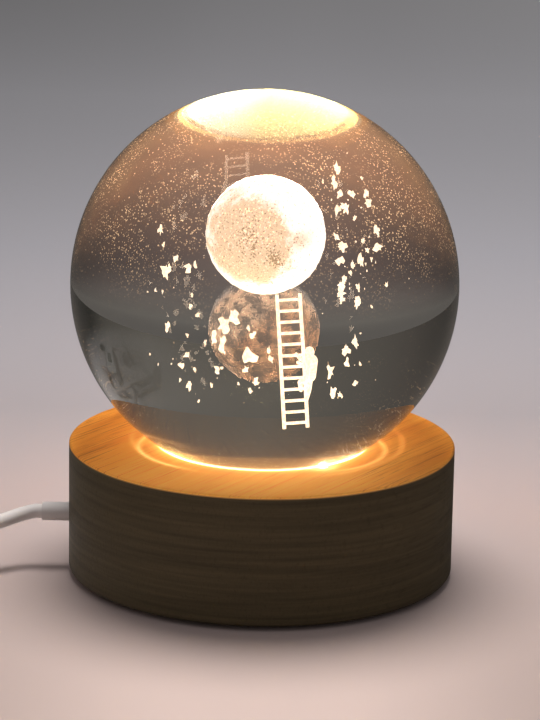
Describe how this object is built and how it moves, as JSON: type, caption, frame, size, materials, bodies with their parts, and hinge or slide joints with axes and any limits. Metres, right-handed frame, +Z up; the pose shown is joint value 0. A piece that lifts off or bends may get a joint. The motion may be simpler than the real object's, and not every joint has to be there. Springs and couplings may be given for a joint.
{
  "type": "crystal ball lamp",
  "caption": "Small night lamp: a solid glass ball with engraved night-sky figures rests on a round wooden base with a hidden light, a lead with a rocker switch, and a USB plug.",
  "frame": {"origin": "on the table, under the middle of the round wooden base", "axes": "+Z up through the middle of the base and the ball; -X towards the side where the lead leaves the base; -Y towards the viewer, who sees the engraved figures upright with the ladder right of the moon's middle"},
  "size_m": [0.1696, 0.0893, 0.1015],
  "materials": {
    "wood": "turned and oiled, honey top, dark stained side",
    "window": "frosted, translucent",
    "white_plastic": "moulded",
    "board": "white solder mask",
    "led": "phosphor",
    "resistor": "matt black",
    "solder": "bright tin",
    "screw": "zinc plated",
    "wire_red": "insulated wire",
    "wire_black": "insulated wire",
    "lead": "soft, slightly clear sheath",
    "tie": "soft band",
    "inner_tie": "nylon",
    "cover": "fine texture",
    "foot": "soft pad",
    "glass": "polished, clear",
    "engraving": "fine white cracks inside the glass",
    "switch_shell": "moulded",
    "rocker": "moulded",
    "contact": "plated spring strip",
    "pin": "drawn wire",
    "plug_metal": "folded sheet"
  },
  "bodies": {
    "base": {"wood_base": "wood", "light_window": "window", "reflector_ring": "white_plastic", "light_board": "board", "led_chips": "led", "resistors": "resistor", "solder_joints": "solder", "board_screws": "screw", "wire_red": "wire_red", "wire_black": "wire_black", "inner_lead": "lead", "inner_lead_tie": "inner_tie", "strain_relief": "lead", "bottom_cover": "cover", "cover_screws": "screw", "rubber_feet": "foot", "lead_from_lamp": "lead", "lead_coil_lower": "lead", "lead_to_switch": "lead", "switch_lower_shell": "switch_shell", "switch_upper_shell": "switch_shell", "switch_screws": "screw", "switch_contacts": "contact", "switch_lead_ends": "lead", "rocker_pin": "pin", "lead_from_switch": "lead", "lead_coil_upper": "lead", "coil_ties": "tie", "lead_to_plug": "lead", "plug_grip": "lead", "plug_shell": "plug_metal", "plug_tongue": "white_plastic", "plug_contacts": "contact"},
    "ball": {"crystal_ball": "glass", "engraved_moon": "engraving", "engraved_ladder": "engraving", "engraved_climber": "engraving", "engraved_stars": "engraving"},
    "rocker": {"rocker": "rocker", "contact_bridge": "contact"}
  },
  "joints": [
    {"name": "ball_lift", "type": "slide", "parent": "base", "child": "ball", "axis": [0, 0, 1], "range_m": [0, 0.06]},
    {"name": "switch_rocker", "type": "hinge", "parent": "base", "child": "rocker", "pos_m": [-0.097, 0.012, 0.0064], "axis": [0, 1, 0], "range_deg": [0, 16]}
  ]
}
